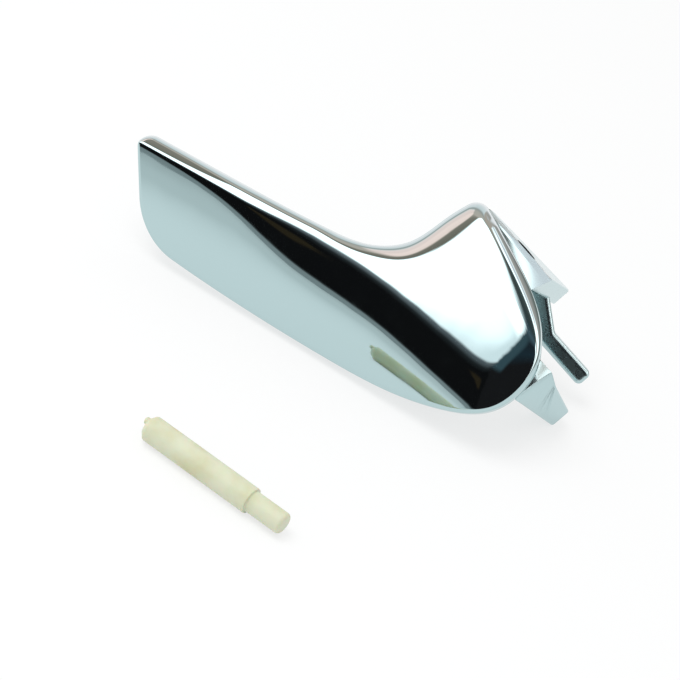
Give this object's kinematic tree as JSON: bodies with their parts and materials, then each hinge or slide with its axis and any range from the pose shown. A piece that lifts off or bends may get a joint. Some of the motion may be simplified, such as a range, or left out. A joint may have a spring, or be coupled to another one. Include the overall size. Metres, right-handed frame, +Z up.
{
  "type": "car interior door handle",
  "caption": "Plated interior door pull lever for a car with pivot ears, cable hook and stop arm, and its loose stepped pivot pin.",
  "frame": {"origin": "middle of the bottom of the box round both pieces as they lie on a table", "axes": "+X runs from the blade's tip to the nose of the lever; +Y runs from the loose pin in front to the ears behind; +Z points up"},
  "size_m": [0.1144, 0.1126, 0.0408],
  "materials": {
    "chrome": "bright decorative plating on a moulded lever",
    "nylon": "natural cream nylon, satin, as moulded"
  },
  "bodies": {
    "root": {"lever": "chrome", "pivot_pin": "nylon"}
  },
  "joints": []
}
